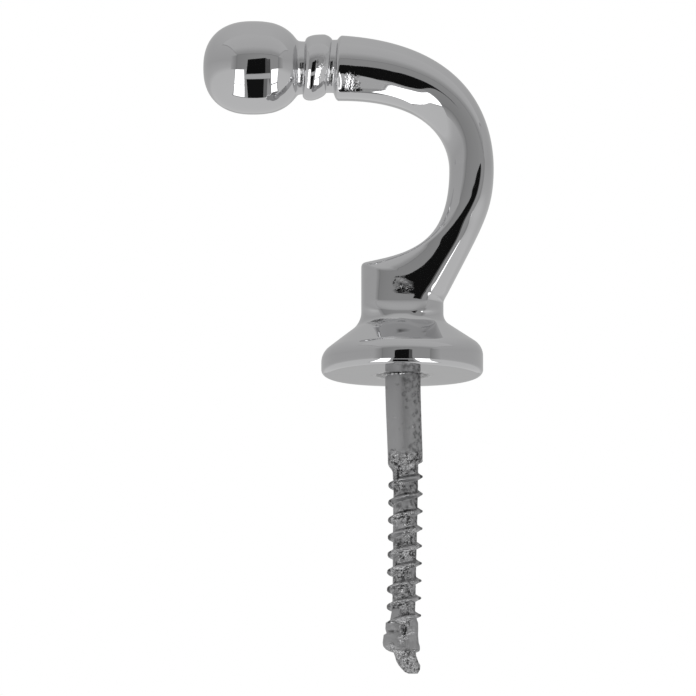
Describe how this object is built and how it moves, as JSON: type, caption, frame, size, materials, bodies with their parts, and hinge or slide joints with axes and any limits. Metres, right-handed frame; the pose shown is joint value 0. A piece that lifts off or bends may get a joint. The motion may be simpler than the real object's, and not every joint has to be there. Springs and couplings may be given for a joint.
{
  "type": "screw hook",
  "caption": "Ball-ended curtain tie-back screw hook: curved arm on a square root block and round flange, with its wood screw cast on.",
  "frame": {"origin": "centre of the flange's flat back face, on the screw axis, where the part meets the wall", "axes": "+Z out of the wall along the screw axis, so the screw goes in along -Z; the hook lies in the XZ plane with its bend towards +X and its ball towards -X; Y is across the hook"},
  "size_m": [0.0325, 0.018, 0.0735],
  "materials": {
    "chrome_casting": "bright chrome plate, polished above the wall and left as cast on the screw"
  },
  "bodies": {
    "root": {"screw_hook": "chrome_casting"}
  },
  "joints": []
}
